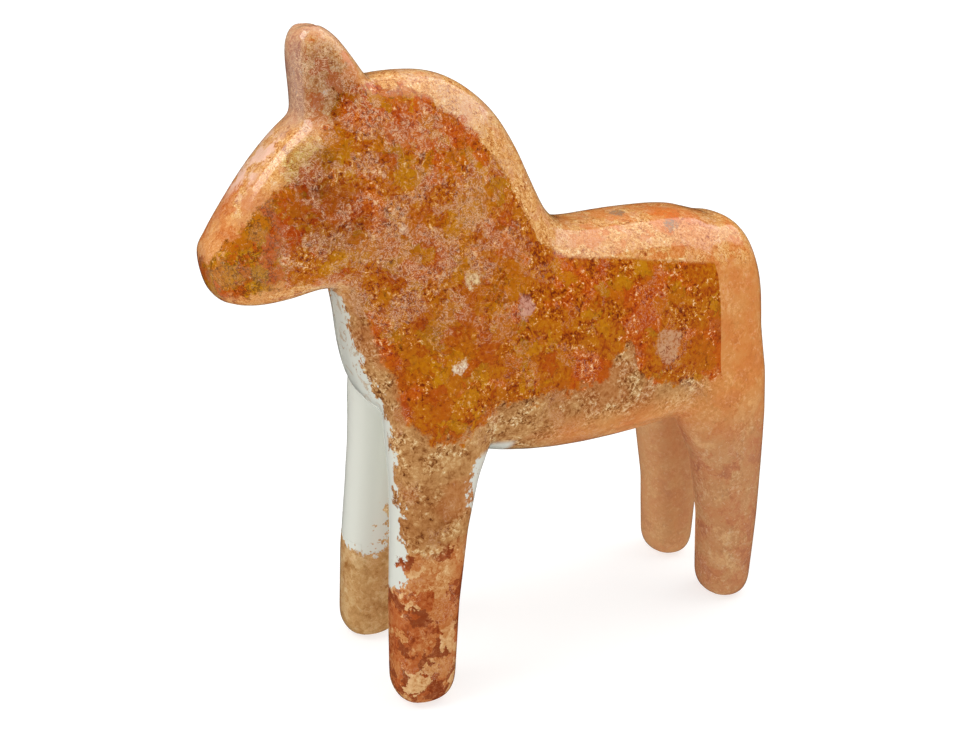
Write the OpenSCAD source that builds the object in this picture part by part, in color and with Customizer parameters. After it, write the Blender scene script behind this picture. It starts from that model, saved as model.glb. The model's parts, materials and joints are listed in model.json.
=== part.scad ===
// Dala horse: one carved block lacquered white, dressed in glued-on sheets of translucent leaf.
// The horse faces -X, its left side is -Y and it stands on z = 0.

/* [Overall] */
// Height from the ground to the ear tips
ear_h = 130; // [124:1:138]
// Distance from the front feet to the hind feet, centre to centre
wheelbase = 78; // [68:1:92]

/* [Body] */
// Height of the back above the ground
back_h = 90.3; // [86:0.1:96]
// Height of the belly above the ground
belly_h = 44; // [38:1:48]
// Width of the body across the belly
body_w = 36; // [31:1:42]
// Width of the body across the rump
rump_w = 33; // [29:1:38]
// Overhang of the rump behind the centre of the hind feet
rump_reach = 7.5; // [6.5:0.5:9.5]

/* [Neck and head] */
// Height of the mane crest above the ground
crest_h = 121.4; // [117:0.1:124]
// Width of the neck halfway up
neck_w = 29; // [25:1:33]
// Width of the head across the cheeks
cheek_w = 20; // [17:1:23]
// Width of the muzzle
muzzle_w = 15; // [12:1:18]
// Reach of the muzzle ahead of the centre of the front feet
muzzle_reach = 33; // [29:1:38]
// Height of the underside of the jaw above the ground
jaw_h = 83.6; // [80:0.1:87]
// Width of the pair of ears across their front
ear_w = 12; // [10:0.5:14]
// Depth of the shallow groove that parts the two ears
ear_groove = 0.6; // [0.3:0.1:1.2]

/* [Legs] */
// Distance between the left and right front feet, centre to centre
front_spread = 27; // [25:0.5:30]
// Distance between the left and right hind feet, centre to centre
hind_spread = 21.7; // [20:0.1:25]
// Length of a front foot, front to back
foot_l = 12.4; // [10.5:0.1:14.5]
// Width of a foot
foot_w = 12; // [10:0.5:13.5]
// Rounding under the edge of a foot
foot_round = 3.5; // [2.5:0.25:4.5]
// Height of the arch between the front legs
arch_h = 56; // [50:1:60]

/* [Leaf] */
// Thickness of a sheet of leaf with the lacquer over it
leaf_t = 0.4; // [0.3:0.05:0.6]
// Bare line left between two neighbouring sheets
leaf_gap = 0.4; // [0.2:0.1:1]
// Bare height above the ground at every foot
leaf_lift = 1.2; // [0.8:0.1:3]

/* [Hidden] */
front_x = muzzle_reach - (muzzle_reach + wheelbase + rump_reach) / 2;
hind_x = front_x + wheelbase;
nose_x = front_x - muzzle_reach;
rump_x = hind_x + rump_reach;
white = [0.93, 0.93, 0.9];
amber = [0.72, 0.45, 0.12];
orange = [0.78, 0.42, 0.2];
beige = [0.8, 0.58, 0.43];
far = 90;

function lerp(a, b, t) = a + (b - a) * t;
function reverse(v) = [for (i = [len(v) - 1:-1:0]) v[i]];
function spow(v, e) = sign(v) * pow(abs(v), e);
// Catmull-Rom spline through four values, from the second to the third.
function crom(p0, p1, p2, p3, t) =
    0.5 * (2 * p1 + (p2 - p0) * t + (2 * p0 - 5 * p1 + 4 * p2 - p3) * t * t
    + (3 * p1 - p0 - 3 * p2 + p3) * t * t * t);
function smooth(rows, steps) = [
    for (i = [0:len(rows) - 2], k = [0:steps - 1])
        crom(rows[max(i - 1, 0)], rows[i], rows[i + 1], rows[min(i + 2, len(rows) - 1)], k / steps),
    rows[len(rows) - 1]];

// Heights up the neck (from the back to the crest), down the chest (from the belly to the jaw)
// and over the head (from the jaw to the crest)
function up_neck(t) = lerp(back_h, crest_h, t);
function up_chest(t) = lerp(belly_h, jaw_h, t);
function up_head(t) = lerp(jaw_h, crest_h, t);
// Lengths from the poll to the nose, along the forehead and along the jaw
poll_x = front_x + 7.4;
throat_x = front_x - 10.1;
function brow(t) = lerp(poll_x, nose_x, t);
function jaw(t) = lerp(throat_x, nose_x, t);

// Sections of the trunk from the rump to the nose:
// [top x, top z, bottom x, bottom z, half-width at the top, half-width at the bottom, squareness]
trunk_stations = [
    [hind_x - 4.3, back_h - 3.4, hind_x - 0.5, belly_h + 5, rump_w * 0.41, rump_w * 0.44, 2.6],
    [hind_x - 11, back_h - 0.6, hind_x - 10.5, belly_h + 1.4, rump_w * 0.44, rump_w * 0.5, 2.7],
    [hind_x - 24.5, back_h, hind_x - 25.5, belly_h, body_w * 0.4, body_w * 0.485, 2.8],
    [front_x + 39.4, back_h, front_x + 32.4, belly_h + 0.3, body_w * 0.39, body_w * 0.5, 2.7],
    [front_x + 33.4, up_neck(0.1), front_x + 15.4, up_chest(0.09), body_w * 0.35, body_w * 0.5, 2.6],
    [front_x + 30, up_neck(0.31), front_x + 3.4, up_chest(0.25), neck_w * 0.38, neck_w * 0.586, 2.5],
    [front_x + 26.6, up_neck(0.54), front_x - 5.1, up_chest(0.43), neck_w * 0.345, neck_w * 0.534, 2.5],
    [front_x + 21.8, up_neck(0.76), front_x - 7.8, up_chest(0.63), neck_w * 0.31, neck_w * 0.5, 2.5],
    [front_x + 14.8, up_neck(0.93), front_x - 8.6, up_chest(0.82), neck_w * 0.293, neck_w * 0.448, 2.5],
    [poll_x, crest_h, throat_x, jaw_h, cheek_w * 0.425, cheek_w * 0.575, 2.6],
    [brow(0.275), up_head(0.98), jaw(0.18), jaw_h + 0.9, cheek_w * 0.45, cheek_w * 0.525, 2.8],
    [brow(0.535), up_head(0.85), jaw(0.36), jaw_h + 0.2, cheek_w * 0.45, cheek_w * 0.475, 3.0],
    [brow(0.74), up_head(0.656), jaw(0.56), jaw_h - 0.3, muzzle_w * 0.533, muzzle_w * 0.567, 3.0],
    [brow(0.925), up_head(0.4), jaw(0.75), jaw_h, muzzle_w * 0.467, muzzle_w * 0.5, 3.0],
    [brow(0.975), up_head(0.31), jaw(0.89), jaw_h + 1.1, muzzle_w * 0.44, muzzle_w * 0.46, 2.9]];
station_steps = 3;
sides = 28;
// How far the trunk bulges beyond its first and last section, and how boxy each bulge is
rear_dome = rump_x - hind_x + 2.4;
nose_dome = 1.9;
rear_box = 0.62;
nose_box = 0.7;

function section(s, grow, shrink = 1, push = 0) =
    let (top = [s[0], s[1]], low = [s[2], s[3]], mid = (top + low) / 2, half = (top - low) / 2,
        h = norm(half), dir = half / h, fwd = [-dir[1], dir[0]], e = 2 / s[6])
    [for (k = [0:sides - 1])
        let (t = 360 * (k + 0.5) / sides, a = spow(cos(t), e), b = spow(sin(t), e),
            p = mid + dir * a * (h + grow) * shrink + fwd * push,
            hw = (lerp(s[5], s[4], (a + 1) / 2) + grow) * shrink)
        [p[0], b * hw, p[1]]];

// Closed solid through rings of the same number of points
module loft(rings) {
    n = len(rings[0]);
    m = len(rings);
    pts = [for (r = rings) each r];
    skin = [for (i = [0:m - 2], k = [0:n - 1])
        [i * n + k, (i + 1) * n + k, (i + 1) * n + (k + 1) % n, i * n + (k + 1) % n]];
    caps = [[for (k = [0:n - 1]) k], [for (k = [n - 1:-1:0]) (m - 1) * n + k]];
    polyhedron(pts, [for (f = skin) each [[f[0], f[1], f[2]], [f[0], f[2], f[3]]], each caps]);
}

module trunk(grow) {
    rows = smooth(trunk_stations, station_steps);
    first = rows[0];
    last = rows[len(rows) - 1];
    rear = [for (a = [75, 55, 35, 18])
        section(first, grow, pow(cos(a), rear_box), -(rear_dome + grow) * sin(a))];
    nose = [for (a = [20, 40, 58, 75])
        section(last, grow, pow(cos(a), nose_box), (nose_dome + grow) * sin(a))];
    loft([each rear, for (s = rows) section(s, grow), each nose]);
}

// Level slices of a leg or of the ears: [z, front x, back x, inner y, outer y, squareness]
leg_sides = 24;
module slice(s, grow) {
    e = 2 / s[5];
    translate([(s[1] + s[2]) / 2, (s[3] + s[4]) / 2, s[0]])
        linear_extrude(0.01)
            polygon([for (k = [0:leg_sides - 1])
                let (t = 360 * (k + 0.5) / leg_sides)
                [((s[2] - s[1]) / 2 + grow) * spow(cos(t), e), ((s[4] - s[3]) / 2 + grow) * spow(sin(t), e)]]);
}

module pile(slices, grow) {
    for (i = [0:len(slices) - 2])
        hull() {
            slice(slices[i], grow);
            slice(slices[i + 1], grow);
        }
}

// The three slices that round the edge under a foot
function foot(x, y, l) = [for (r = [[0, 0.72], [0.28, 0.25], [1, 0]])
    let (cut = foot_round * r[1])
    [foot_round * r[0], x - l / 2 + cut, x + l / 2 - cut, y - foot_w / 2 + cut, y + foot_w / 2 - cut, 2.4]];

front_in = (front_spread - foot_w) / 2;
front_out = (front_spread + foot_w) / 2;
shoulder_y = body_w * 0.45;
front_leg = [
    each foot(front_x, front_spread / 2, foot_l),
    [arch_h * 0.36, front_x - foot_l * 0.45, front_x + foot_l * 0.63, front_in * 0.88,
        lerp(front_out, shoulder_y, 0.27), 2.5],
    [arch_h * 0.63, front_x - foot_l * 0.36, front_x + foot_l * 0.85, front_in * 0.75,
        lerp(front_out, shoulder_y, 0.64), 2.5],
    [arch_h * 0.81, front_x - foot_l * 0.31, front_x + foot_l * 1.08, front_in * 0.59,
        lerp(front_out, shoulder_y, 0.85), 2.5],
    [arch_h * 0.93, front_x - foot_l * 0.31, front_x + foot_l * 1.35, front_in * 0.37, shoulder_y, 2.5],
    [arch_h + 4, front_x - foot_l * 0.31, front_x + foot_l * 1.65, front_in * 0.13, shoulder_y - 0.2, 2.5],
    [arch_h + 12, front_x - foot_l * 0.21, front_x + foot_l * 1.8, 0, shoulder_y - 0.9, 2.5],
    [arch_h + 22, front_x + foot_l * 0.11, front_x + foot_l * 1.73, 0, shoulder_y - 3.2, 2.3],
    [arch_h + 30, front_x + foot_l * 0.6, front_x + foot_l * 1.48, 0, shoulder_y * 0.55, 2.2]];

hind_in = (hind_spread - foot_w) / 2;
hind_l = foot_l * 0.86;
hip_y = rump_w * 0.49;
hind_leg = [
    each foot(hind_x, hind_spread / 2, hind_l),
    [belly_h * 0.45, hind_x - hind_l * 0.58, hind_x + hind_l * 0.56, hind_in, hip_y + 0.7, 2.7],
    [belly_h * 0.8, hind_x - hind_l * 0.87, hind_x + hind_l * 0.61, hind_in * 0.9, hip_y + 0.4, 2.7],
    [belly_h + 1, hind_x - hind_l * 1.3, hind_x + hind_l * 0.65, hind_in * 0.74, hip_y + 0.1, 2.7],
    [belly_h + 10, hind_x - hind_l * 1.83, hind_x + hind_l * 0.66, hind_in * 0.4, hip_y - 0.2, 2.6],
    [belly_h + 20, hind_x - hind_l * 2.02, hind_x + hind_l * 0.57, 0, hip_y - 1.2, 2.5],
    [belly_h + 30, hind_x - hind_l * 1.74, hind_x + hind_l * 0.23, 0, hip_y - 3.7, 2.4]];

// The ears start inside the head, so their foot follows the crest and their tip the full height.
function up_ear(t) = lerp(crest_h, ear_h, t);
ears = [for (r = [
    [crest_h - 15.4, -14.6, 5.4, 0.625, 3], [crest_h - 6.4, -15.1, 1.2, 0.567, 3],
    [crest_h - 1.4, -15.3, -2.2, 0.517, 3], [up_ear(0.42), -15.6, -5.6, 0.467, 2.8],
    [up_ear(0.77), -15.4, -7.9, 0.41, 2.6], [ear_h, -14.2, -10.4, 0.28, 2.4]])
    [r[0], front_x + r[1], front_x + r[2], -ear_w * r[3], ear_w * r[3], r[4]]];

module ear_pair(grow) {
    difference() {
        pile(ears, grow);
        translate([front_x, 0, ear_h + ear_groove * 2])
            rotate([0, 90, 0])
                cylinder(h = far, r = ear_groove * 3 - grow, center = true, $fn = 24);
    }
}

module horse(grow = 0) {
    trunk(grow);
    for (side = [1, -1])
        scale([1, side, 1]) {
            pile(front_leg, grow);
            pile(hind_leg, grow);
        }
    ear_pair(grow);
}

module horse_body() {
    color(white) horse();
}

// Corners where the sheets of leaf meet, seen from the side: [x, z]
nose_seam = [nose_x + 9, up_head(0.386)];
face_low = [brow(0.62), up_head(0.646)];
face_mid = [brow(0.425), up_head(0.81)];
poll = [brow(0.25), crest_h - 4.2];
ear_back = [brow(0.25), crest_h + 0.2];
ear_front = [nose_x + 10, crest_h - 4.8];
cheek_line = [[brow(0.4), up_head(0.38)], [throat_x, jaw_h + 4]];
throat = [throat_x - 0.5, jaw_h - 5];
jaw_front = [nose_x + 11, jaw_h - 5];
crest_line = [[front_x + 8.7, crest_h - 2.9], [front_x + 15.3, up_neck(0.71)],
    [front_x + 20.9, up_neck(0.49)], [front_x + 24.6, up_neck(0.24)]];
crest_end = [front_x + 36, back_h + 12];
withers = [front_x + 29.4, back_h - 2.3];
back_line = [[front_x + 33, back_h - 4.5], [front_x + 49.7, back_h - 6.9], [hind_x - 16.6, back_h - 9]];
rump_top = [hind_x - 9, back_h - 10];
back_end = [hind_x - 4, back_h + 12];
rump_low = [hind_x - 8.6, belly_h + 13];
shoulder_line = [[front_x + 7, jaw_h - 8], [front_x + 19, back_h - 6.3]];
girth = [front_x + 21.4, belly_h + 16];
girth_line = [[front_x + 23.4, back_h - 16.3], girth];
elbow = [front_x + 18.4, arch_h - 4];
belly_line = [[hind_x - 22.5, belly_h + 12.5], [front_x + 39.4, belly_h + 12.5]];
stifle = [hind_x - 16.5, belly_h + 2];
ahead = nose_x - 10;
behind = rump_x + 10;
above = ear_h + 10;
muzzle_top = [ahead, nose_seam[1] - 10];
under_jaw = [ahead, jaw_h - 5];
chest = [ahead, jaw_h - 12];
arm = [ahead, arch_h - 2];
haunch = [behind, belly_h + 3];

// The chest, the front of the far leg and the inside of both front legs carry no leaf.
bare_low = 22;
module bare() {
    strip = front_in + foot_w / 2;
    shin = arch_h - 4;
    side = [[3.2, jaw_h], [2.6, jaw_h - 13.6], [5, arch_h + 9], [8.5, arch_h + 5], [strip, shin]];
    translate([front_x - far - foot_l * 0.2, 0, 0])
        rotate([90, 0, 90])
            linear_extrude(far)
                polygon([each side, [far, shin], [far, bare_low + 2], [0, bare_low + 2], [0, bare_low],
                    [2 - strip, bare_low], [-strip, bare_low + 8],
                    each [for (p = reverse(side)) [-p[0], p[1]]]]);
    translate([front_x - far, -front_in - 0.5, bare_low])
        cube([far + 18, front_in * 2 + 1, shin - bare_low + 10]);
}

// One sheet: the skin inside an outline, on the left (-1), on the right (1) or on both sides (0)
module sheet(outline, side = 0) {
    depth = side == 0 ? far * 2 : far;
    start = side == 0 ? far : side < 0 ? -leaf_gap / 2 : far + leaf_gap / 2;
    difference() {
        intersection() {
            horse(leaf_t);
            translate([0, start, 0])
                rotate([90, 0, 0])
                    linear_extrude(depth)
                        offset(delta = -leaf_gap / 2)
                            polygon(outline);
        }
        horse();
        bare();
    }
}

module face_leaf() {
    color(beige) sheet([muzzle_top, nose_seam, face_low, face_mid, poll, ear_back, ear_front,
        [ahead, crest_h - 10]]);
}
module muzzle_leaf() {
    color(amber) sheet([muzzle_top, nose_seam, jaw_front, under_jaw]);
}
module cheek_leaf(side) {
    color(orange) sheet([nose_seam, face_low, face_mid, each cheek_line, throat, jaw_front], side);
}
module ear_leaf(side) {
    color(beige) sheet([ear_front, ear_back, [ear_back[0] + 4, above], [ear_front[0], above]], side);
}
module crest_leaf() {
    color(beige) sheet([poll, ear_back, [ear_back[0] + 4, above], [crest_end[0] + 10, above], crest_end,
        withers, each reverse(crest_line)]);
}
module neck_leaf(side) {
    color(amber) sheet([face_mid, poll, each crest_line, withers, each reverse(shoulder_line), chest,
        under_jaw, throat, each reverse(cheek_line)], side);
}
module shoulder_leaf(side) {
    color(amber) sheet([chest, each shoulder_line, withers, each girth_line, elbow, arm], side);
}
module back_leaf() {
    color(beige) sheet([withers, each back_line, rump_top, back_end, crest_end]);
}
module flank_leaf(side) {
    color(amber) sheet([withers, each back_line, rump_top, rump_low, each belly_line,
        each reverse(girth_line)], side);
}
module belly_leaf() {
    color(beige) sheet([girth, each reverse(belly_line), rump_low, stifle, [stifle[0], belly_h - 14],
        [elbow[0], belly_h - 14], elbow]);
}
module rump_leaf() {
    color(beige) sheet([rump_top, back_end, [behind, above], haunch, rump_low]);
}
module front_leg_leaf(side) {
    color(orange) sheet([arm, elbow, [elbow[0], leaf_lift], [ahead, leaf_lift]], side);
}
module hind_leg_leaf(side) {
    color(beige) sheet([rump_low, haunch, [behind, leaf_lift], [stifle[0], leaf_lift], stifle], side);
}

horse_body();
face_leaf();
muzzle_leaf();
cheek_leaf(-1);  // cheek_leaf_left
cheek_leaf(1);  // cheek_leaf_right
ear_leaf(-1);  // ear_leaf_left
ear_leaf(1);  // ear_leaf_right
crest_leaf();
neck_leaf(-1);  // neck_leaf_left
neck_leaf(1);  // neck_leaf_right
shoulder_leaf(-1);  // shoulder_leaf_left
shoulder_leaf(1);  // shoulder_leaf_right
back_leaf();
flank_leaf(-1);  // flank_leaf_left
flank_leaf(1);  // flank_leaf_right
belly_leaf();
rump_leaf();
front_leg_leaf(-1);  // front_leg_leaf_left
front_leg_leaf(1);  // front_leg_leaf_right
hind_leg_leaf(-1);  // hind_leg_leaf_left
hind_leg_leaf(1);  // hind_leg_leaf_right
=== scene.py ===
import json
import math
from types import SimpleNamespace

import bpy
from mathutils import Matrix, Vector
from mathutils.bvhtree import BVHTree


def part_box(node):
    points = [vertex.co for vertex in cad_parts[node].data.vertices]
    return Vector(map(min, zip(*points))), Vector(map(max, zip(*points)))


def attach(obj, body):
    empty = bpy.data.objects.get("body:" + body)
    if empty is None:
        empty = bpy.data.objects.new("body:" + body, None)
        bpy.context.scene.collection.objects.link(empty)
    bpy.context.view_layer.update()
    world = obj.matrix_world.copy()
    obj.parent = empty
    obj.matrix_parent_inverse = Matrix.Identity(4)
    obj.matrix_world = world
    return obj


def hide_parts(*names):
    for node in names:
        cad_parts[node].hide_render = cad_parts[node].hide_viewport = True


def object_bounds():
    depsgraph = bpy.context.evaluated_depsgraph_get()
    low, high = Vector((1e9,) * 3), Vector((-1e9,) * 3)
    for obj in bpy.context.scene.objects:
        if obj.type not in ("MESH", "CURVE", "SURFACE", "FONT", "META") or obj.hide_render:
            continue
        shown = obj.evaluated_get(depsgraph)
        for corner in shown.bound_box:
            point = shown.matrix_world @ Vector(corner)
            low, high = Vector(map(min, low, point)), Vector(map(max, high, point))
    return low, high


# A carved dala horse, lacquered white and dressed in sheets of translucent leaf under clear gloss.
# It faces -X, its left side is -Y, and it stands on z = 0. Shapes are in metres, patterns in millimetres.

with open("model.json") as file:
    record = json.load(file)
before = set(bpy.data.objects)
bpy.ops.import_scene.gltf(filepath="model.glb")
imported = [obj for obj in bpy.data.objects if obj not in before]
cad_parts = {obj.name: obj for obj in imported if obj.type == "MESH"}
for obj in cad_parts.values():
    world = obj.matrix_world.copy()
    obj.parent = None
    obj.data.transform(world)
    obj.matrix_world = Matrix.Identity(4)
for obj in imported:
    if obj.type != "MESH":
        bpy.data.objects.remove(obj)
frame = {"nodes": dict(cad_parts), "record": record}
cad_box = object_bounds()
body_nodes = frame["nodes"]
LEAF_NODES = sorted(n for n in body_nodes if "_leaf" in n)

# Camera
LENS, SENSOR = 44.40, 36.0
CAMERA_TURN, CAMERA_LIFT = math.radians(28.38), math.radians(21.48)
CAMERA_AWAY = 0.24417
CAMERA_LOOKS_AHEAD, CAMERA_LOOKS_UP = 0.00343, 0.06178

# Carved block
VOXEL = 0.00068
SANDING_ROUNDS = 22
SANDING_GIVEN_BACK = 0.00028
RUMP_FILL, RUMP_SPREAD = (0.00025, 0.0, 0.00065), 0.0062

# Sheets of leaf
SHEET_LIFT = 0.00005
SHEET_THICKNESS = 0.00012
OUTLINE_REACH = 0.0025
BARE_BEYOND, BARE_MARGIN = 0.0006, 0.00025
OUTLINE_ROUNDS = 4
SHARP_EDGE = math.radians(60)


# ---------------------------------------------------------------- camera

def place_camera():
    low, high = cad_box
    middle = (low + high) / 2
    target = Vector((middle.x - CAMERA_LOOKS_AHEAD, 0.0, CAMERA_LOOKS_UP))
    back = Vector((-math.sin(CAMERA_TURN) * math.cos(CAMERA_LIFT),
                   -math.cos(CAMERA_TURN) * math.cos(CAMERA_LIFT),
                   math.sin(CAMERA_LIFT)))
    lens = bpy.data.cameras.new("camera")
    lens.lens = LENS
    lens.sensor_width = SENSOR
    lens.clip_start = 0.01
    camera = bpy.data.objects.new("camera", lens)
    bpy.context.scene.collection.objects.link(camera)
    camera.location = target + back * CAMERA_AWAY
    camera.rotation_euler = (-back).to_track_quat("-Z", "Y").to_euler()
    bpy.context.scene.camera = camera


place_camera()


# ---------------------------------------------------------------- working with one object

def work_on(piece):
    for other in list(bpy.context.selected_objects):
        other.select_set(False)
    piece.select_set(True)
    bpy.context.view_layer.objects.active = piece


def edit_all(piece):
    """Leaves the piece in edit mode with every point selected."""
    work_on(piece)
    bpy.ops.object.mode_set(mode="EDIT")
    bpy.ops.mesh.select_all(action="SELECT")


def edit_points(piece, wanted):
    """Leaves the piece in edit mode with the wanted points selected."""
    work_on(piece)
    bpy.ops.object.mode_set(mode="EDIT")
    bpy.ops.mesh.select_mode(type="VERT")
    bpy.ops.mesh.select_all(action="DESELECT")
    bpy.ops.object.mode_set(mode="OBJECT")
    for point in piece.data.vertices:
        point.select = wanted(point.co, point.normal)
    bpy.ops.object.mode_set(mode="EDIT")


def stop_editing():
    bpy.ops.object.mode_set(mode="OBJECT")


def fatten(piece, by):
    edit_all(piece)
    bpy.ops.transform.shrink_fatten(value=by)
    stop_editing()


def apply_modifier(piece, kind, **settings):
    modifier = piece.modifiers.new(kind.lower(), kind)
    for key, value in settings.items():
        setattr(modifier, key, value)
    work_on(piece)
    bpy.ops.object.modifier_apply(modifier=modifier.name)


def copy_of_node(name, piece_name):
    mesh = body_nodes[name].data.copy()
    mesh.materials.clear()
    piece = bpy.data.objects.new(piece_name, mesh)
    bpy.context.scene.collection.objects.link(piece)
    edit_all(piece)
    bpy.ops.mesh.remove_doubles(threshold=0.000002)
    stop_editing()
    return piece


# ---------------------------------------------------------------- the carved block

def stand_on_ground(block):
    lowest = min(v.co.z for v in block.data.vertices)
    edit_all(block)
    bpy.ops.transform.translate(value=(0, 0, -lowest))
    stop_editing()


def round_rump(block):
    """Fills the shallow hollow where the back turns down into the rump."""
    edit_points(block, lambda p, n: 0.0485 < p.x < 0.0515 and p.z > 0.079 and n.z > 0.45)
    bpy.ops.transform.translate(value=RUMP_FILL, use_proportional_edit=True,
                                proportional_edit_falloff="SMOOTH", proportional_size=RUMP_SPREAD)
    stop_editing()


def carve_block():
    """The block with its knife edges sanded round where legs, ears and neck run into the trunk."""
    block = copy_of_node("horse_body", "carved_block")
    apply_modifier(block, "REMESH", mode="VOXEL", voxel_size=VOXEL)
    apply_modifier(block, "SMOOTH", factor=0.5, iterations=SANDING_ROUNDS)
    fatten(block, SANDING_GIVEN_BACK)
    stand_on_ground(block)
    round_rump(block)
    bpy.ops.object.shade_smooth()
    return block


# ---------------------------------------------------------------- the sheets of leaf

def tree_of(name):
    mesh = body_nodes[name].data
    return BVHTree.FromPolygons([v.co for v in mesh.vertices], [p.vertices for p in mesh.polygons])


def label_faces(mesh):
    """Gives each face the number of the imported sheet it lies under, or 0 where the lacquer is bare."""
    trees = {name: tree_of(name) for name in LEAF_NODES}
    boxes = {name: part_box(name) for name in LEAF_NODES}
    wood = tree_of("horse_body")
    for face in mesh.polygons:
        spot = face.center
        best, best_gap = 0, OUTLINE_REACH
        for index, name in enumerate(LEAF_NODES, 1):
            low, high = boxes[name]
            if all(low[k] - OUTLINE_REACH < spot[k] < high[k] + OUTLINE_REACH for k in range(3)):
                found = trees[name].find_nearest(spot, best_gap)
                if found[0] is not None and found[3] < best_gap:
                    best, best_gap = index, found[3]
        if best and best_gap > max(BARE_BEYOND, wood.find_nearest(spot)[3] + BARE_MARGIN):
            best = 0
        face.material_index = best


def settle_outlines(mesh):
    """Hands a face that juts out alone into another sheet over to that sheet, so every outline is clean."""
    beside = {}
    for face in mesh.polygons:
        for edge in face.edge_keys:
            beside.setdefault(edge, []).append(face.index)
    for _ in range(OUTLINE_ROUNDS):
        labels = [face.material_index for face in mesh.polygons]
        for face in mesh.polygons:
            near = [labels[n] for edge in face.edge_keys for n in beside[edge] if n != face.index]
            if near.count(labels[face.index]) < 2:
                face.material_index = max(sorted(set(near)), key=near.count)


def cut_sheets(block):
    """Cuts the block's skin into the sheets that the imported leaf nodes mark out, each a thin closed shell."""
    skin = bpy.data.objects.new("skin", block.data.copy())
    bpy.context.scene.collection.objects.link(skin)
    fatten(skin, SHEET_LIFT)
    labels = ["bare"] + LEAF_NODES
    for label in labels:
        skin.data.materials.append(bpy.data.materials.new("cut_" + label))
    label_faces(skin.data)
    settle_outlines(skin.data)
    work_on(skin)
    bpy.ops.object.mode_set(mode="EDIT")
    bpy.ops.mesh.separate(type="MATERIAL")
    stop_editing()
    sheets = {}
    for part in [o for o in bpy.context.scene.objects if o.type == "MESH" and o.name.startswith("skin")]:
        label = part.data.materials[part.data.polygons[0].material_index].name[len("cut_"):]
        if label == "bare":
            bpy.data.objects.remove(part)
            continue
        part.data.materials.clear()
        part.name = part.data.name = label.replace("_leaf", "_sheet")
        apply_modifier(part, "SOLIDIFY", thickness=SHEET_THICKNESS, offset=-1.0, use_even_offset=False)
        bpy.ops.object.shade_smooth_by_angle(angle=SHARP_EDGE)
        sheets[label] = part
    for label in labels:
        bpy.data.materials.remove(bpy.data.materials["cut_" + label])
    return sheets


# ---------------------------------------------------------------- small tools for the finishes

def tint(red, green, blue):
    """A colour as the eye reads it, 0 to 255, turned into light."""
    return tuple((c / 255 / 12.92) if c <= 10 else ((c / 255 + 0.055) / 1.055) ** 2.4
                 for c in (red, green, blue)) + (1.0,)


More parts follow.
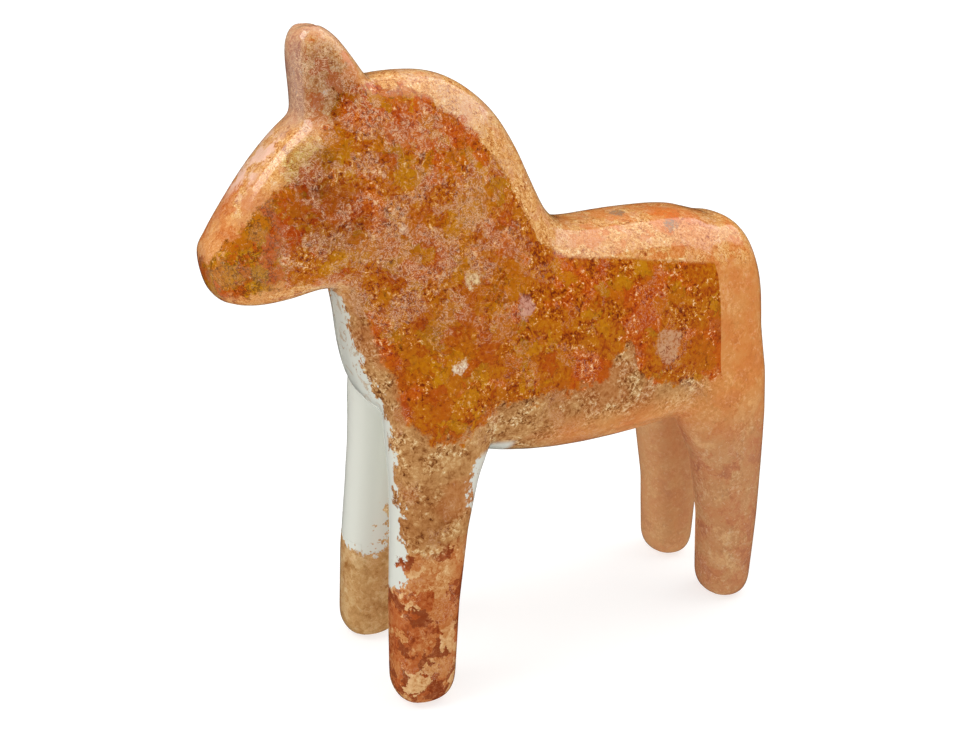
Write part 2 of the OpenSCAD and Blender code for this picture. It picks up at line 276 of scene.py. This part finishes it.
class Finish:
    """Adds nodes to one tree and hands back their outputs."""

    def __init__(self, tree):
        self.tree = tree

    def add(self, kind, sockets=(), **settings):
        made = self.tree.nodes.new(kind)
        for key, value in settings.items():
            setattr(made, key, value)
        for key, value in dict(sockets).items():
            if isinstance(value, bpy.types.NodeSocket):
                self.tree.links.new(value, made.inputs[key])
            else:
                made.inputs[key].default_value = value
        return made

    def sum(self, operation, first, second=0.0, third=None, clamp=False):
        sockets = {0: first, 1: second}
        if third is not None:
            sockets[2] = third
        return self.add("ShaderNodeMath", sockets, operation=operation, use_clamp=clamp).outputs[0]

    def fold(self, operation, values):
        total = values[0]
        for value in values[1:]:
            total = self.sum(operation, total, value)
        return total

    def times(self, *values):
        return self.fold("MULTIPLY", values)

    def plus(self, *values):
        return self.fold("ADD", values)

    def most(self, *values):
        return self.fold("MAXIMUM", values)

    def less(self, first, second):
        return self.sum("SUBTRACT", first, second)

    def gain(self, value, by, start):
        return self.sum("MULTIPLY_ADD", value, by, start)

    def off(self, value, centre):
        """How far a value lies from a centre, either way."""
        return self.sum("ABSOLUTE", self.less(value, centre))

    def step(self, value, low, high, out_low=0.0, out_high=1.0):
        """0 at low, 1 at high, eased between."""
        sockets = {"Value": value, "From Min": low, "From Max": high, "To Min": out_low, "To Max": out_high}
        return self.add("ShaderNodeMapRange", sockets, interpolation_type="SMOOTHSTEP").outputs[0]

    def millimetres(self):
        place = self.add("ShaderNodeTexCoord").outputs["Object"]
        return self.mapped(place, scale=(1000.0, 1000.0, 1000.0))

    def mapped(self, place, scale, rotation=(0.0, 0.0, 0.0)):
        sockets = {"Vector": place, "Rotation": rotation, "Scale": scale}
        return self.add("ShaderNodeMapping", sockets).outputs[0]

    def noise(self, place, scale, detail=2.0, roughness=0.5, distortion=0.0):
        return self.add("ShaderNodeTexNoise", {"Vector": place, "Scale": scale, "Detail": detail,
                                               "Roughness": roughness, "Distortion": distortion})

    def grey(self, *noise_settings):
        return self.noise(*noise_settings).outputs["Fac"]

    def cells(self, place, scale, feature="F1"):
        return self.add("ShaderNodeTexVoronoi", {"Vector": place, "Scale": scale, "Randomness": 1.0},
                        feature=feature)

    def distance(self, place, centre):
        return self.add("ShaderNodeVectorMath", {0: place, 1: centre}, operation="DISTANCE").outputs["Value"]

    def shift(self, place, push, amount):
        """Moves a place by a noise colour centred on zero."""
        centred = self.add("ShaderNodeVectorMath", {0: push, 1: (0.5, 0.5, 0.5)},
                           operation="SUBTRACT").outputs[0]
        scaled = self.add("ShaderNodeVectorMath", {0: centred, "Scale": amount}, operation="SCALE").outputs[0]
        return self.add("ShaderNodeVectorMath", {0: place, 1: scaled}, operation="ADD").outputs[0]

    def ramp(self, amount, stops):
        made = self.add("ShaderNodeValToRGB", {"Fac": amount})
        points = made.color_ramp.elements
        while len(points) < len(stops):
            points.new(0.5)
        for point, (place, colour) in zip(points, stops):
            point.position = place
            point.color = colour
        return made.outputs["Color"]

    def shades(self, amount, rows):
        """A colour read off rows of place, red, green and blue."""
        return self.ramp(amount, [(place, tint(*colour)) for place, *colour in rows])

    def curve(self, along, low, high, scale, pairs):
        """A height read off a line of (place, height) pairs."""
        share = self.sum("DIVIDE", self.less(along, low), high - low, clamp=True)
        stops = [((p - low) / (high - low), (h / scale,) * 3 + (1.0,)) for p, h in pairs]
        return self.times(self.ramp(share, stops), scale)

    def blend(self, amount, first, second, mode="MIX"):
        """Lays the second colour over the first. A plain row of three is a tint."""
        first, second = (tint(*c) if isinstance(c, tuple) else c for c in (first, second))
        return self.add("ShaderNodeMix", {0: amount, 6: first, 7: second},
                        data_type="RGBA", blend_type=mode).outputs[2]


# ---------------------------------------------------------------- lines and shades of the leaf

# Heights of the amber sheets' upper and lower edges, along the horse from nose to rump
UPPER_LINE = [
    (-62, 90), (-57.5, 95), (-54.8, 98.5), (-50, 102.5), (-46, 106), (-42, 109.5), (-38.6, 114), (-36, 120),
    (-33, 121.5), (-28, 120), (-23, 120), (-18.5, 117.5), (-13, 114), (-8.8, 109), (-4.9, 103.5), (-1.3, 96),
    (1.5, 90), (7, 86.3), (22, 84.3), (34, 82.2), (41.5, 81), (43.2, 56), (62, 50)]
LOWER_LINE = [
    (-62, 85), (-56, 86.5), (-48, 87.5), (-41, 88), (-37, 85), (-35, 72), (-31, 62), (-28, 59), (-24, 56),
    (-18.5, 55.5), (-14, 58.5), (-9, 60.5), (3, 61), (13, 61.5), (17, 67), (20, 68.5), (22, 60.5), (31, 57.5),
    (42, 57), (62, 58)]

# Widths from the middle of the horse to an edge, by height above the ground
COLLAR = [
    (0, 16), (58, 15.4), (62, 12.6), (66, 11.2), (72, 9.8), (78, 8.8), (84, 7.6), (89, 6.6), (93, 0),
    (130, 0)]
NEAR_BARE_EDGE = [
    (0, 0), (19, 0), (23, 9), (27, 14.5), (38, 14.5), (44, 12.6), (50, 11.4), (57, 9.8), (63, 8), (70, 5.6),
    (76, 3.8), (82, 3), (85, 0), (130, 0)]
FAR_BARE_EDGE = [
    (0, 0), (17, 0), (22, 9), (26, 18), (30, 20), (60, 20), (66, 12), (72, 8), (80, 4), (85, 0), (130, 0)]
HEEL_EDGE = [(0, 0), (35, 0), (39, 3.5), (47, 3.5), (52, 0), (130, 0)]

OCHRE = [
    (0.37, 124, 44, 1), (0.43, 170, 70, 1), (0.47, 182, 84, 1), (0.51, 194, 106, 1), (0.56, 198, 120, 1),
    (0.6, 204, 120, 4), (0.63, 238, 168, 84), (0.67, 252, 220, 176)]
RED = [
    (0.35, 140, 34, 2), (0.42, 180, 58, 1), (0.48, 194, 74, 1), (0.55, 206, 94, 1), (0.6, 208, 98, 10),
    (0.63, 238, 156, 90), (0.68, 252, 212, 170)]
CLEAR_OCHRE = [
    (0.0, 184, 62, 1), (0.25, 196, 100, 1), (0.55, 204, 126, 1), (0.8, 212, 146, 2), (1.0, 186, 130, 10)]
PINKISH_BEIGE = [
    (0.35, 92, 44, 12), (0.42, 154, 94, 44), (0.48, 190, 134, 78), (0.54, 208, 156, 98), (0.6, 232, 196, 140),
    (0.67, 250, 232, 194)]
SOFT_SALMON = [
    (0.36, 186, 84, 30), (0.44, 212, 118, 50), (0.5, 214, 138, 70), (0.57, 214, 148, 84),
    (0.66, 240, 186, 120)]
GOLDEN_STRANDS = [
    (0.4, 160, 72, 22), (0.46, 218, 138, 66), (0.52, 240, 176, 100), (0.56, 250, 204, 134),
    (0.61, 255, 238, 194)]
BRICK = [
    (0.34, 140, 50, 10), (0.43, 186, 82, 26), (0.51, 200, 116, 58), (0.59, 214, 146, 84),
    (0.7, 240, 196, 140)]
STRAW = [(0.3, 160, 104, 50), (0.5, 202, 156, 98), (0.68, 226, 196, 146)]

# Single flakes and spots: centre, reach and shade
MARKS = [
    ((28.8, -16.0, 66.3), 3.4, (210, 160, 120)), ((-13.3, -12.6, 85.2), 1.4, (250, 232, 200)),
    ((-17.8, -14.9, 69.5), 1.2, (252, 238, 210)), ((-26.0, -11.5, 96.0), 1.0, (246, 214, 180)),
    ((-3.0, -14.5, 79.0), 1.8, (214, 160, 140)), ((34.8, -3.5, 89.7), 3.6, (226, 116, 40)),
    ((24.8, -1.2, 90.2), 2.0, (150, 128, 104)), ((33.3, -8.0, 88.2), 1.6, (158, 132, 108))]

# Places darkened by multiplying in a shade, alike on both sides: centre, reach and shade
DARKENED_PLACES = [
    ((-39.5, 5.0, 121.5), 9.0, (204, 202, 226)), ((-39.7, 9.5, 99.0), 9.0, (226, 216, 200)),
    ((-42.4, 8.5, 107.7), 6.0, (222, 236, 214)), ((-26.3, 16.5, 41.0), 8.0, (236, 220, 206)),
    ((38.7, 9.0, 86.0), 8.0, (250, 232, 232)), ((-20.0, 13.0, 84.0), 16.0, (248, 240, 215))]


# ---------------------------------------------------------------- the leaf's look

def lay_ground(f):
    """Patches, torn edges, crumbs and drifting flakes, for every look below to draw on."""
    g = SimpleNamespace(mm=f.millimetres())
    g.x, g.y, g.z = f.add("ShaderNodeSeparateXYZ", {0: g.mm}).outputs
    g.side = f.sum("ABSOLUTE", g.y)
    patch = f.noise(g.mm, 0.3, 4, 0.62)
    torn = f.noise(g.mm, 0.8, 4, 0.7)
    g.broad = f.grey(g.mm, 0.085, 3, 0.5)
    g.patch, g.torn, g.torn_push = patch.outputs["Fac"], torn.outputs["Fac"], torn.outputs["Color"]
    g.grain = f.grey(g.mm, 1.2, 4, 0.82, 0.6)
    g.patch_off, g.torn_off = f.less(g.patch, 0.5), f.less(g.torn, 0.5)
    g.rag = f.plus(f.times(g.patch_off, 11.0), f.times(g.torn_off, 7.0))
    g.drift = f.shift(f.shift(g.mm, patch.outputs["Color"], 9.0), g.torn_push, 2.4)
    g.flake_pick = f.add("ShaderNodeSeparateColor", {0: f.cells(g.drift, 0.3).outputs["Color"]}).outputs
    g.flake_edge = f.cells(g.drift, 0.3, "DISTANCE_TO_EDGE").outputs["Distance"]
    glassy = f.step(f.grey(g.mm, 0.21, 3, 0.6), 0.56, 0.44, 0.45, 1.25)
    low_front = f.times(f.step(g.x, 2.0, -6.0), f.step(g.z, 56.0, 50.0))
    glassy = f.times(glassy, f.gain(low_front, -0.3, 1.0))
    g.crumb = f.plus(f.gain(f.less(g.grain, 0.5), glassy, 0.5), f.times(g.patch_off, 0.3))
    return g


def mark_out(f, g):
    """Marks out the parts of the horse, each 1 inside and 0 outside."""
    x, z = g.x, g.z
    g.upper = f.curve(x, -62, 62, 130, UPPER_LINE)
    lower = f.curve(x, -62, 62, 130, LOWER_LINE)
    over_back = f.step(x, 0.0, 8.0)
    loose = f.times(g.rag, f.gain(over_back, -0.5, 0.6))
    above_line = f.step(f.plus(f.less(g.upper, z), loose), -0.4, 0.4)
    below_line = f.step(f.plus(f.less(z, lower), f.times(g.rag, 0.9)), -0.8, 0.8)
    collar = f.curve(z, 0, 130, 20, COLLAR)
    outside_collar = f.step(f.plus(f.less(g.side, collar), f.times(g.rag, 0.35)), -0.5, 0.5)
    clear_of_chest = f.most(f.step(x, -25.5, -23.5), outside_collar, f.step(x, -37.0, -38.5))
    g.amber_zone = f.times(above_line, below_line, clear_of_chest)
    g.muzzle = f.step(f.plus(x, f.times(g.rag, 0.5)), -47.0, -49.0)
    g.haunch = f.step(f.plus(x, f.times(f.less(z, 60.0), 0.12)), 34.0, 43.0)
    g.ridge = f.times(f.less(1.0, above_line), f.step(z, 78, 82))
    g.shin = f.times(f.step(f.plus(z, f.times(g.rag, 0.9)), 36.0, 32.0), f.step(x, 20.0, 10.0))
    g.far_foot = f.times(f.step(g.y, -1.0, 1.0), f.step(x, 20.0, 10.0))
    g.neck = f.times(f.step(x, 4.0, -12.0), f.step(z, 72.0, 84.0))
    g.shoulder = f.times(f.step(f.off(x, -14.0), 14.0, 8.0), f.step(z, 92.0, 84.0))
    g.jaw = f.times(f.step(x, -34.0, -38.0), f.step(z, 92.0, 89.0))
    g.ear = f.times(f.step(z, 112.0, 116.0), f.step(x, -30.0, -33.0))
    share = f.plus(f.plus(f.times(g.muzzle, 0.5), f.times(g.shoulder, 0.4)),
                   f.plus(f.times(g.neck, 0.2), 0.22))
    g.flake_here = f.step(f.less(share, g.flake_pick[0]), -0.02, 0.02)


def amber_shades(f, g):
    """Crumbs of ochre and red-brown, with clear ochre flakes, creases, pits and bright specks among them, the
    specks partly painted glints.
    """
    x, z = g.x, g.z
    near_crest = f.times(f.step(f.less(g.upper, z), 14.0, 5.0), f.step(x, -4.0, -10.0))
    redness = f.plus(g.broad, f.times(g.patch_off, 0.6),
                     f.most(f.times(f.step(x, 10.0, 26.0), 0.03), f.times(near_crest, 0.09)))
    redness = f.less(redness, f.times(g.shoulder, 0.04))
    amber = f.blend(f.times(f.step(redness, 0.5, 0.6), 0.8), f.shades(g.crumb, OCHRE), f.shades(g.crumb, RED))

    # Dragged streaks, dark and light, at the foot of the neck
    dragged = f.grey(f.mapped(g.drift, (0.16, 0.5, 2.6), (0.0, -0.06, 0.0)), 0.8, 3, 0.6)
    foot_of_neck = f.times(f.step(f.off(z, 94.0), 8.0, 4.0), f.step(x, -34.0, -28.0),
                           f.step(g.patch, 0.42, 0.56))
    amber = f.blend(f.times(f.step(dragged, 0.45, 0.38), foot_of_neck, 0.6), amber, (128, 52, 4))
    amber = f.blend(f.times(f.step(dragged, 0.57, 0.63), foot_of_neck, 0.6), amber, (244, 186, 120))

    clear = f.shades(g.flake_pick[1], CLEAR_OCHRE)
    clear = f.blend(f.times(f.step(g.torn, 0.4, 0.62), 0.4), clear, (176, 80, 2))
    amber = f.blend(f.times(g.flake_here, f.gain(g.muzzle, 0.3, 0.6)), amber, clear)
    g.rim = f.times(f.step(g.flake_edge, 0.05, 0.01), g.flake_here, f.step(g.torn, 0.42, 0.56))
    amber = f.blend(f.times(g.rim, 0.6), amber, (120, 48, 6))

    # The muzzle is yellower, with red embers and dark creases
    amber = f.blend(f.times(g.muzzle, 0.35), amber, (206, 136, 6))
    ember = f.times(f.step(f.grey(g.drift, 0.13, 3, 0.55), 0.5, 0.55), f.step(x, -38.0, -44.0))
    amber = f.blend(f.times(ember, 0.65), amber, (196, 64, 2))
    crease = f.cells(f.shift(g.drift, g.torn_push, 3.0), 0.42, "DISTANCE_TO_EDGE").outputs["Distance"]
    crease = f.times(f.step(crease, 0.1, 0.03), f.step(g.patch, 0.44, 0.5))
    amber = f.blend(f.times(crease, g.muzzle, 0.75), amber, (84, 34, 6))

    pits = f.times(f.step(g.grain, 0.43, 0.37), f.gain(g.neck, 0.3, 0.2))
    amber = f.blend(pits, amber, (88, 40, 10))
    # Bright specks, mostly on the neck: partly pale flecks in the leaf, partly painted glints.
    glints_and_pale_flecks = f.times(f.step(g.grain, 0.59, 0.65), f.gain(g.neck, 0.3, 0.1))
    return f.blend(glints_and_pale_flecks, amber, (250, 216, 160))


def soft_shades(f, g):
    """Soft salmon beige of the haunches, dragged downwards and greyer low on the legs."""
    pick = f.plus(f.times(f.grey(g.drift, 0.16, 4, 0.6), 0.75), f.times(g.flake_pick[0], 0.12),
                  f.times(g.grain, 0.13))
    soft = f.shades(pick, SOFT_SALMON)
    dragged_down = f.grey(f.mapped(g.drift, (1.3, 1.3, 0.4)), 0.28, 4, 0.62)
    soft = f.blend(f.times(f.step(dragged_down, 0.53, 0.6), 0.5), soft, (204, 92, 34))
    soft = f.blend(f.times(f.step(g.torn, 0.59, 0.65), 0.45), soft, (250, 222, 176))
    return f.blend(f.step(g.z, 56.0, 36.0), f.blend(0.5, soft, (250, 160, 80)),
                   f.blend(0.42, soft, (190, 150, 122)))


def golden_shades(f, g):
    """Golden strands of the face, the crest and the back."""
    strand = f.grey(f.mapped(g.drift, (0.4, 2.2, 2.2), (0.0, 0.75, 0.3)), 0.9, 4, 0.7)
    golden = f.shades(f.plus(f.times(strand, 0.65), f.times(g.crumb, 0.35)), GOLDEN_STRANDS)
    return f.blend(f.times(f.step(g.patch, 0.54, 0.6), 0.4), golden, (216, 134, 100))


def pale_shades(f, g):
    """Pinkish beige, granular where it is thin, with its own patches on ears, face, back and feet, and painted
    light that makes the far hind leg paler.
    """
    x, y, z, side = g.x, g.y, g.z, g.side
    pale = f.shades(g.crumb, PINKISH_BEIGE)
    pale = f.blend(f.times(f.step(g.broad, 0.48, 0.58), 0.45), pale, (186, 102, 44))
    calm = f.most(g.haunch, f.times(f.step(x, -4.0, 8.0), f.step(z, 57.0, 49.0)))
    pale = f.blend(f.times(calm, 0.8), pale, soft_shades(f, g))
    pale = f.blend(f.times(f.most(g.ridge, g.jaw), 0.9), pale, golden_shades(f, g))

    ear_patch = f.times(f.step(g.flake_pick[0], 0.34, 0.3), g.ear, f.step(side, 4.0, 5.0))
    pale = f.blend(f.times(ear_patch, 0.75), pale, f.blend(g.flake_pick[2], (206, 78, 16), (226, 132, 54)))
    pale = f.blend(f.times(g.ear, f.step(side, 4.5, 3.5), 0.45), pale, (206, 158, 140))
    face_patch = f.times(g.flake_here, f.step(x, -40.0, -46.0), f.less(0.6, f.times(g.jaw, 0.35)),
                         f.step(z, 108.0, 103.0))
    pale = f.blend(face_patch, pale, f.blend(g.flake_pick[1], (206, 92, 20), (232, 158, 92)))
    back_patch = f.times(f.step(g.flake_pick[1], 0.7, 0.74), f.step(x, 6.0, 12.0), f.times(g.ridge, 0.5))
    pale = f.blend(back_patch, pale, (222, 118, 44))

    brick = f.shades(f.plus(f.times(g.flake_pick[2], 0.35), f.times(g.crumb, 0.65)), BRICK)
    straw = f.shades(f.grey(g.drift, 0.3, 4, 0.6), STRAW)
    pale = f.blend(f.times(g.shin, 0.85), pale, f.blend(g.far_foot, brick, straw))
    # Painted light: the far hind leg is made paler than the near one.
    far_hind_painted_light = f.times(f.step(y, 0.0, 2.0), f.step(x, 28.0, 34.0), f.step(z, 52.0, 42.0))
    return f.blend(f.times(far_hind_painted_light, 0.35), pale, (230, 178, 120))


def add_marks(f, g, colour):
    """Single flakes, places darkened by a multiplied shade, and the pale pink patch on the bridge of the nose,
    partly a painted highlight.
    """
    for centre, reach, shade in MARKS:
        mark = f.step(f.plus(f.distance(g.mm, centre), f.times(g.rag, 0.5)), reach + 0.3, reach - 0.5)
        colour = f.blend(f.times(mark, f.step(g.grain, 0.42, 0.54, 0.2, 0.9)), colour, shade)
    folded = f.add("ShaderNodeCombineXYZ", {0: g.x, 1: g.side, 2: g.z}).outputs[0]
    for centre, reach, shade in DARKENED_PLACES:
        ragged = f.plus(f.distance(folded, centre), f.times(g.rag, 0.4))
        colour = f.blend(f.step(ragged, reach, reach * 0.45), colour, shade, "MULTIPLY")
    # A pale pink patch on the bridge of the nose: partly the leaf's own pink, partly a painted highlight.
    bridge = f.times(f.step(g.x, -43.0, -47.0), f.step(g.z, 101.0, 105.0), f.step(g.side, 5.0, 3.0))
    bridge_pink_and_highlight = f.step(f.plus(g.patch, f.times(g.torn_off, 0.5)), 0.4, 0.56)
    return f.blend(f.times(bridge, bridge_pink_and_highlight, 0.75), colour, (252, 208, 188))


def add_lace(f, g, colour):
    """A lace of pale fibres, thick on the neck and the cheeks and thin on the flanks."""
    thread = f.grey(g.mm, 0.4, 4, 0.62, 1.4)
    fibre = f.grey(g.mm, 0.85, 4, 0.68, 1.0)
    long_lace = f.step(f.off(thread, 0.5), 0.013, 0.004)
    short_lace = f.step(f.off(fibre, 0.5), 0.026, 0.008)
    cluster = f.step(f.plus(f.grey(g.mm, 0.17, 3, 0.6), f.times(g.neck, 0.06)), 0.53, 0.57)
    lace = f.plus(f.times(long_lace, f.gain(g.neck, 0.3, 0.04)),
                  f.times(short_lace, cluster, f.gain(g.neck, 0.55, 0.4)))
    lace = f.times(f.sum("MINIMUM", lace, 0.92), f.gain(g.muzzle, -0.8, 1.0), f.gain(g.haunch, -0.7, 1.0))
    colour = f.blend(lace, colour, f.blend(g.broad, (214, 160, 132), (252, 216, 170)))
    return f.blend(f.times(cluster, g.neck, 0.1), colour, (198, 156, 120))


def bare_places(f, g):
    """Where no leaf lies: the chest, the front and inside of the front legs, and a patch behind one."""
    x, y, z, side = g.x, g.y, g.z, g.side
    fringe = f.times(g.rag, 1.1)
    is_far = f.step(y, -0.5, 0.5)
    edge = f.plus(f.times(f.curve(z, 0, 130, 20, FAR_BARE_EDGE), is_far),
                  f.times(f.curve(z, 0, 130, 20, NEAR_BARE_EDGE), f.less(1.0, is_far)))
    front = f.times(f.step(f.plus(f.less(edge, side), fringe), -0.25, 0.25), f.step(x, -23.5, -25.0),
                    f.step(z, 84.5, 82.5))
    stocking_top = f.step(x, -30.5, -25.0, 23.0, 37.0)
    stocking = f.times(is_far, f.step(f.less(f.plus(z, f.times(fringe, 0.6)), stocking_top), 0.3, -0.3))
    front = f.times(front, f.less(1.0, stocking))
    scrap_top = f.gain(f.step(f.plus(x, fringe), -25.5, -23.5), 13.0, 22.0)
    inner = f.times(f.step(f.plus(side, fringe), 8.6, 7.6),
                    f.step(f.less(f.plus(z, fringe), scrap_top), -0.3, 0.3),
                    f.times(f.step(x, -7.0, -9.0), f.step(z, 60.0, 58.0)))
    heel = f.step(f.plus(x, f.curve(z, 0, 130, 20, HEEL_EDGE), fringe), -13.2, -12.4)
    heel = f.times(heel, f.times(f.step(x, -4.0, -6.0), f.step(z, 52.0, 50.0)), f.step(z, 36.0, 38.0))
    return f.most(front, inner, heel)


def white_shades(f, g):
    """White lacquer, with a few stray scraps of leaf and their brown veins high on the chest."""
    scrap = f.times(f.step(f.grey(g.mm, 0.28, 5, 0.75, 0.8), 0.55, 0.58), f.step(g.z, 56.0, 66.0),
                    f.step(g.x, -20.0, -24.0))
    vein = f.times(f.step(f.sum("ABSOLUTE", g.torn_off), 0.02, 0.005), 0.5)
    return f.blend(f.times(scrap, 0.85), (226, 227, 216), f.blend(vein, (206, 182, 152), (132, 96, 70)))


def make_leaf_look():
    """One pattern over the whole horse, so that sheets laid side by side run into each other."""
    tree = bpy.data.node_groups.new("leaf_look", "ShaderNodeTree")
    for name, kind in (("Colour", "NodeSocketColor"), ("Relief", "NodeSocketFloat")):
        tree.interface.new_socket(name=name, in_out="OUTPUT", socket_type=kind)
    f = Finish(tree)
    g = lay_ground(f)
    mark_out(f, g)
    colour = f.blend(g.amber_zone, pale_shades(f, g), amber_shades(f, g))
    colour = add_lace(f, g, add_marks(f, g, colour))
    bare = bare_places(f, g)
    colour = f.blend(bare, colour, white_shades(f, g))
    relief = f.times(f.plus(f.times(g.grain, 0.7), f.times(g.rim, -0.3)), f.less(1.0, bare))
    f.add("NodeGroupOutput", {0: colour, 1: relief})
    return tree


def make_finish(name, look, sheen_roughness):
    """The look under a clear coat: the leaf's relief is fine, and the lacquer over it ripples broadly."""
    material = bpy.data.materials.new(name)
    material.use_nodes = True
    tree = material.node_tree
    tree.nodes.clear()
    f = Finish(tree)
    pattern = f.add("ShaderNodeGroup", node_tree=look)
    relief = pattern.outputs["Relief"]
    ripple = f.grey(f.millimetres(), 0.12, 2, 0.4)
    lacquer = f.add("ShaderNodeBump", {"Height": ripple, "Distance": 0.0006, "Strength": 0.35}).outputs[0]
    grain = f.add("ShaderNodeBump", {"Height": relief, "Distance": 0.0002, "Strength": 0.3,
                                     "Normal": lacquer}).outputs[0]
    rough = f.step(relief, 0.2, 0.9, sheen_roughness, sheen_roughness - 0.12)
    shader = f.add("ShaderNodeBsdfPrincipled", {
        "Base Color": pattern.outputs["Colour"], "Roughness": rough, "Normal": grain, "Coat Normal": lacquer,
        "Coat Weight": 1.0, "Coat Roughness": 0.1, "Coat IOR": 1.48, "Specular IOR Level": 0.05})
    f.add("ShaderNodeOutputMaterial", {"Surface": shader.outputs[0]})
    return material


# ---------------------------------------------------------------- put together

block = carve_block()
sheets = cut_sheets(block)
look = make_leaf_look()
white_lacquer = make_finish("white_lacquer", look, 0.42)
finishes = {"amber_leaf": make_finish("amber_leaf", look, 0.5),
            "orange_leaf": make_finish("orange_leaf", look, 0.52),
            "pale_leaf": make_finish("pale_leaf", look, 0.55)}
slots = {p["node"]: p["material_slot"] for p in frame["record"]["subparts"]}

block.data.materials.append(white_lacquer)
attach(block, "root")
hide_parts("horse_body")
for name, sheet in sheets.items():
    sheet.data.materials.append(finishes[slots[name]])
    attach(sheet, "root")
    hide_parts(name)


# ---------------------------------------------------------------- floor and light

WHITE, BLACK, PAPER = (1.0, 1.0, 1.0, 1.0), (0.0, 0.0, 0.0, 1.0), (0.42, 0.42, 0.41, 1.0)
FLOOR_SIZE, TENT_RADIUS = 8.0, 3.9
DAYLIGHT = 0.5

# Name, size, place, what it points at, and power in watts
SOFTBOXES = [
    ("roof", (0.5, 0.5), (0.0, 0.05, 0.5), (0.0, 0.0, 0.05), 0.55),
    ("window", (0.26, 0.26), (-0.33, 0.05, 0.47), (-0.03, 0.0, 0.1), 1.1),
    ("side_wall", (0.5, 0.42), (0.36, -0.06, 0.46), (0.02, 0.0, 0.09), 1.25)]


def matt(name, colour, glow):
    material = bpy.data.materials.new(name)
    material.use_nodes = True
    shader = material.node_tree.nodes["Principled BSDF"]
    shader.inputs["Base Color"].default_value = colour
    shader.inputs["Roughness"].default_value = 0.9
    shader.inputs["Specular IOR Level"].default_value = 0.1
    shader.inputs["Emission Color"].default_value = WHITE
    shader.inputs["Emission Strength"].default_value = glow
    return material


def lay_floor():
    """Pale paper that glows, brighter away from the horse until it meets the tent: painted light, dimmer round
    the horse.
    """
    paper = matt("paper", PAPER, 1.0)
    f = Finish(paper.node_tree)
    away = f.distance(f.add("ShaderNodeTexCoord").outputs["Object"], (0.0, 0.0, 0.0))
    shader = paper.node_tree.nodes["Principled BSDF"]
    paper.node_tree.links.new(f.step(away, 0.15, 0.7, 0.7, 0.97), shader.inputs["Emission Strength"])
    bpy.ops.mesh.primitive_plane_add(size=FLOOR_SIZE)
    floor = bpy.context.active_object
    floor.name = "floor"
    floor.data.materials.append(paper)
    floor.visible_glossy = False


def raise_tent():
    """A white tent that only the camera sees."""
    bpy.ops.mesh.primitive_uv_sphere_add(segments=48, ring_count=24, radius=TENT_RADIUS)
    tent = bpy.context.active_object
    tent.name = "tent"
    tent.data.materials.append(matt("tent_cloth", BLACK, 1.0))
    tent.visible_diffuse = tent.visible_glossy = tent.visible_shadow = False


def let_in_daylight():
    """Even white light from all round, which the gloss doesn't mirror."""
    world = bpy.data.worlds.new("air")
    bpy.context.scene.world = world
    world.use_nodes = True
    sky = world.node_tree.nodes["Background"]
    sky.inputs["Color"].default_value = WHITE
    sky.inputs["Strength"].default_value = DAYLIGHT
    world.cycles_visibility.glossy = False


def hang_softbox(name, size, place, towards, power):
    light = bpy.data.lights.new(name, "AREA")
    light.shape = "RECTANGLE"
    light.size, light.size_y = size
    light.energy = power
    made = bpy.data.objects.new(name, light)
    bpy.context.scene.collection.objects.link(made)
    made.location = place
    made.rotation_euler = (Vector(towards) - Vector(place)).to_track_quat("-Z", "Y").to_euler()
    made.visible_camera = False


lay_floor()
raise_tent()
let_in_daylight()
for softbox in SOFTBOXES:
    hang_softbox(*softbox)
bpy.context.scene.view_settings.view_transform = "Standard"
